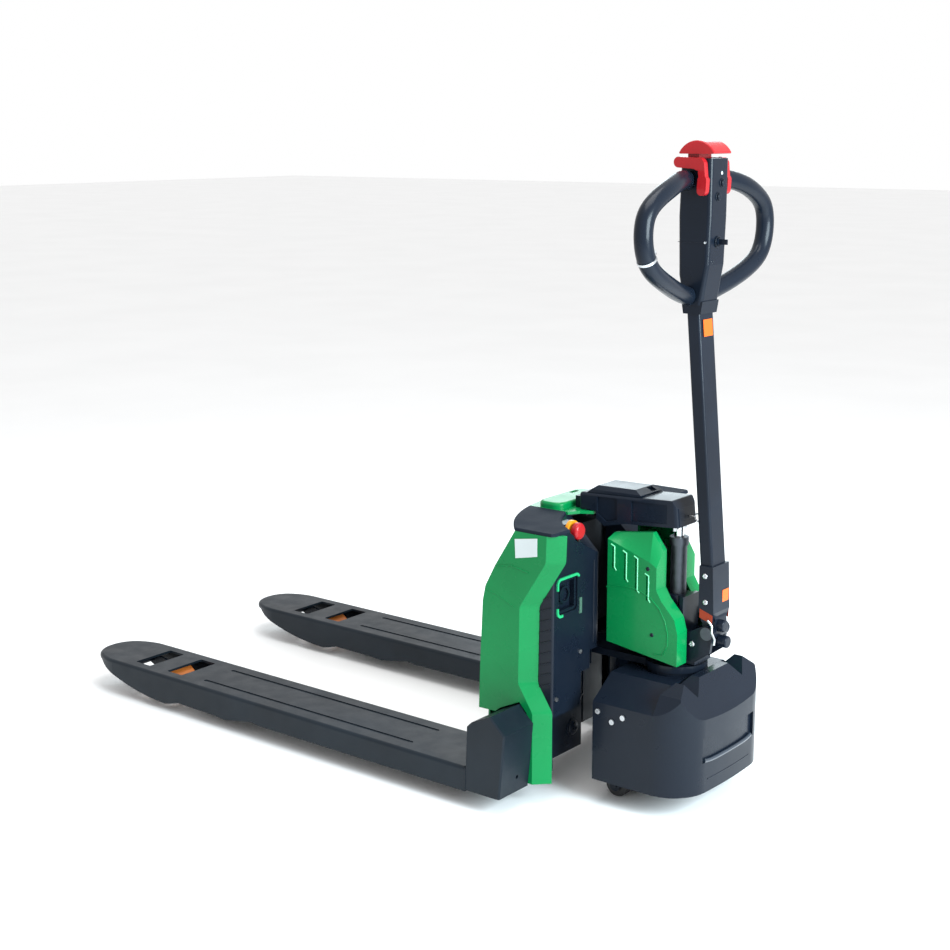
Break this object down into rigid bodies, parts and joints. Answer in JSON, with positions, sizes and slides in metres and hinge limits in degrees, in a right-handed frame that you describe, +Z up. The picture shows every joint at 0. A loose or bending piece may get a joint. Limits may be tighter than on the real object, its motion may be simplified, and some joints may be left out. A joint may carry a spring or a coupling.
{
  "type": "battery pallet truck",
  "caption": "Low-lift powered pallet truck: two forks with load rollers on a lifting mast, a steered drive head and an upright tiller.",
  "frame": {"origin": "on the floor, below the middle of the overall length and width, forks lowered", "axes": "+X from the fork tips to the tiller, +Y across to the far side, +Z up"},
  "size_m": [1.562, 0.685, 1.2886],
  "materials": {
    "fork_paint": "satin",
    "dark_paint": "satin",
    "green_cover": "gloss",
    "black_plastic": "satin",
    "battery_case": "matte",
    "trim_green": "gloss",
    "gauge": "gloss",
    "yellow_plastic": "gloss",
    "red_plastic": "gloss",
    "steel": "satin",
    "chrome": "mirror",
    "cast_alloy": "matte",
    "polyurethane": "satin",
    "black_tyre": "matte",
    "band_metal": "satin"
  },
  "bodies": {
    "base": {"slew_yoke": "dark_paint"},
    "lift": {"fork_near": "fork_paint", "fork_far": "fork_paint", "rocker_bushes": "steel", "heel_bracket_near": "fork_paint", "heel_bracket_far": "fork_paint", "cross_frame": "fork_paint", "mast_frame": "dark_paint", "piston_rod": "chrome", "battery_pack": "battery_case", "motor_controller": "cast_alloy", "side_cover_near": "green_cover", "side_cover_far": "green_cover", "front_cover": "green_cover", "top_cap_near": "black_plastic", "top_cap_far": "black_plastic", "top_tongue": "green_cover", "rear_panel": "black_plastic", "charge_socket": "black_plastic", "socket_trim": "trim_green", "charge_gauge": "gauge", "panel_screws": "steel", "estop_collar": "yellow_plastic", "hood": "black_plastic", "battery_lid": "black_plastic"},
    "emergency_stop": {"estop_button": "red_plastic"},
    "rocker": {"rocker": "dark_paint"},
    "push_rod_near": {"push_rod_near": "dark_paint"},
    "push_rod_far": {"push_rod_far": "dark_paint"},
    "roller_frame_near": {"roller_frame_near": "dark_paint"},
    "roller_frame_far": {"roller_frame_far": "dark_paint"},
    "load_roller_near": {"load_roller_core_near": "steel", "load_roller_tyre_near": "polyurethane"},
    "load_roller_far": {"load_roller_core_far": "steel", "load_roller_tyre_far": "polyurethane"},
    "head": {"drive_yoke": "dark_paint", "drive_motor": "cast_alloy", "caster_brackets": "dark_paint", "drive_cover": "black_plastic", "cover_bolts": "steel", "head_frame": "dark_paint", "lift_cylinder": "cast_alloy", "power_pack": "cast_alloy", "motor_cover_near": "green_cover", "motor_cover_far": "green_cover", "tiller_pin": "steel"},
    "drive_wheel": {"drive_wheel_tyre": "black_tyre", "drive_wheel_hub": "cast_alloy"},
    "caster_near": {"caster_wheel_near": "black_tyre"},
    "caster_far": {"caster_wheel_far": "black_tyre"},
    "tiller": {"tiller_tube": "dark_paint", "tiller_head": "black_plastic", "handle_loop_near": "black_plastic", "handle_loop_far": "black_plastic", "loop_band": "band_metal"},
    "throttle": {"throttle": "red_plastic"},
    "belly_button": {"belly_button": "red_plastic"},
    "lift_button": {"lift_button": "black_plastic"},
    "lower_button": {"lower_button": "black_plastic"},
    "key_switch": {"key_switch": "black_plastic"}
  },
  "joints": [
    {"name": "mast_lift", "type": "slide", "parent": "base", "child": "lift", "axis": [0, 0, 1], "range_m": [0, 0.11]},
    {"name": "emergency_stop_press", "type": "slide", "parent": "lift", "child": "emergency_stop", "axis": [-1, 0, 0], "range_m": [0, 0.006], "stiffness_N_per_m": 800},
    {"name": "rocker_turn", "type": "hinge", "parent": "lift", "child": "rocker", "pos_m": [0.352, 0, 0.062], "axis": [0, 1, 0], "range_deg": [0, 63]},
    {"name": "push_rod_turn_near", "type": "hinge", "parent": "rocker", "child": "push_rod_near", "pos_m": [0.412, -0.2625, 0.038], "axis": [0, 1, 0], "range_deg": [-63, 0]},
    {"name": "roller_frame_turn_near", "type": "hinge", "parent": "lift", "child": "roller_frame_near", "pos_m": [-0.689, -0.2625, 0.062], "axis": [0, 1, 0], "range_deg": [0, 63]},
    {"name": "load_roller_spin_near", "type": "hinge", "parent": "roller_frame_near", "child": "load_roller_near", "pos_m": [-0.551, -0.2625, 0.039], "axis": [0, 1, 0], "continuous": true},
    {"name": "push_rod_turn_far", "type": "hinge", "parent": "rocker", "child": "push_rod_far", "pos_m": [0.412, 0.2625, 0.038], "axis": [0, 1, 0], "range_deg": [-63, 0]},
    {"name": "roller_frame_turn_far", "type": "hinge", "parent": "lift", "child": "roller_frame_far", "pos_m": [-0.689, 0.2625, 0.062], "axis": [0, 1, 0], "range_deg": [0, 63]},
    {"name": "load_roller_spin_far", "type": "hinge", "parent": "roller_frame_far", "child": "load_roller_far", "pos_m": [-0.551, 0.2625, 0.039], "axis": [0, 1, 0], "continuous": true},
    {"name": "steer", "type": "hinge", "parent": "base", "child": "head", "pos_m": [0.654, 0, 0.27], "axis": [0, 0, 1], "range_deg": [-90, 90]},
    {"name": "drive_wheel_spin", "type": "hinge", "parent": "head", "child": "drive_wheel", "pos_m": [0.654, 0, 0.105], "axis": [0, 1, 0], "continuous": true},
    {"name": "caster_spin_near", "type": "hinge", "parent": "head", "child": "caster_near", "pos_m": [0.588, -0.099, 0.025], "axis": [0, 1, 0], "continuous": true},
    {"name": "caster_spin_far", "type": "hinge", "parent": "head", "child": "caster_far", "pos_m": [0.588, 0.099, 0.025], "axis": [0, 1, 0], "continuous": true},
    {"name": "tiller_tilt", "type": "hinge", "parent": "head", "child": "tiller", "pos_m": [0.74, 0, 0.35], "axis": [0, 1, 0], "range_deg": [0, 83], "stiffness_Nm_per_rad": 32, "springref_deg": -22.92},
    {"name": "throttle_turn", "type": "hinge", "parent": "tiller", "child": "throttle", "pos_m": [0.702, 0, 1.246], "axis": [0, 1, 0], "range_deg": [-8, 8], "stiffness_Nm_per_rad": 1.2},
    {"name": "belly_button_press", "type": "slide", "parent": "tiller", "child": "belly_button", "axis": [0, 0, -1], "range_m": [0, 0.006], "stiffness_N_per_m": 900},
    {"name": "lift_button_press", "type": "slide", "parent": "tiller", "child": "lift_button", "axis": [-1, 0, 0], "range_m": [0, 0.003], "stiffness_N_per_m": 400},
    {"name": "lower_button_press", "type": "slide", "parent": "tiller", "child": "lower_button", "axis": [-1, 0, 0], "range_m": [0, 0.003], "stiffness_N_per_m": 400},
    {"name": "key_turn", "type": "hinge", "parent": "tiller", "child": "key_switch", "pos_m": [0.723, -0.002, 1.103], "axis": [1, 0, 0], "range_deg": [0, 60]}
  ],
  "couplings": [
    {"joint": "rocker_turn", "follows": "mast_lift", "rad_per_m": 9.996},
    {"joint": "push_rod_turn_near", "follows": "mast_lift", "rad_per_m": -9.996},
    {"joint": "roller_frame_turn_near", "follows": "mast_lift", "rad_per_m": 9.996},
    {"joint": "push_rod_turn_far", "follows": "mast_lift", "rad_per_m": -9.996},
    {"joint": "roller_frame_turn_far", "follows": "mast_lift", "rad_per_m": 9.996}
  ]
}
